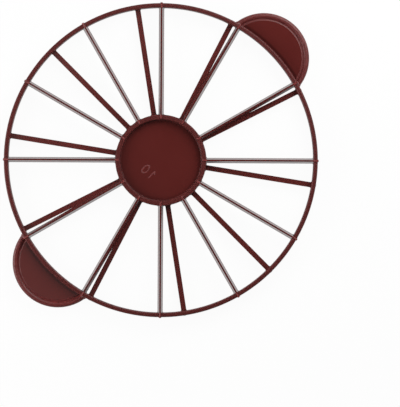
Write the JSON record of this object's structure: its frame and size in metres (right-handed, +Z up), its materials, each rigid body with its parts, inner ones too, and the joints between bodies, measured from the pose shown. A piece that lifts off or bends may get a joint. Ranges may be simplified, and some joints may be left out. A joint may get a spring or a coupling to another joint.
{
  "type": "cake portion marker",
  "caption": "Two-sided ring with a hub, wedge-shaped marking blades on each side and two half-round grips, pressed onto a round cake to mark equal slices.",
  "frame": {"origin": "on the axis of the ring, on the plane of the lower blades' crests that the marker stands on", "axes": "+X along the two grips, +Z up through the side that marks twelfths, +Y by the right-hand rule"},
  "size_m": [0.327, 0.271, 0.015],
  "materials": {
    "brown_plastic": "moulded, satin to semi-gloss, dark red-brown"
  },
  "bodies": {
    "root": {"outer_ring": "brown_plastic", "hub_rim": "brown_plastic", "hub_floor": "brown_plastic", "twelfth_blade_01": "brown_plastic", "twelfth_blade_02": "brown_plastic", "twelfth_blade_03": "brown_plastic", "twelfth_blade_04": "brown_plastic", "twelfth_blade_05": "brown_plastic", "twelfth_blade_06": "brown_plastic", "twelfth_blade_07": "brown_plastic", "twelfth_blade_08": "brown_plastic", "twelfth_blade_09": "brown_plastic", "twelfth_blade_10": "brown_plastic", "twelfth_blade_11": "brown_plastic", "twelfth_blade_12": "brown_plastic", "tenth_blade_01": "brown_plastic", "tenth_blade_02": "brown_plastic", "tenth_blade_03": "brown_plastic", "tenth_blade_04": "brown_plastic", "tenth_blade_05": "brown_plastic", "tenth_blade_06": "brown_plastic", "tenth_blade_07": "brown_plastic", "tenth_blade_08": "brown_plastic", "tenth_blade_09": "brown_plastic", "tenth_blade_10": "brown_plastic", "grip_bead_right": "brown_plastic", "grip_plate_right": "brown_plastic", "grip_bead_left": "brown_plastic", "grip_plate_left": "brown_plastic"}
  },
  "joints": []
}
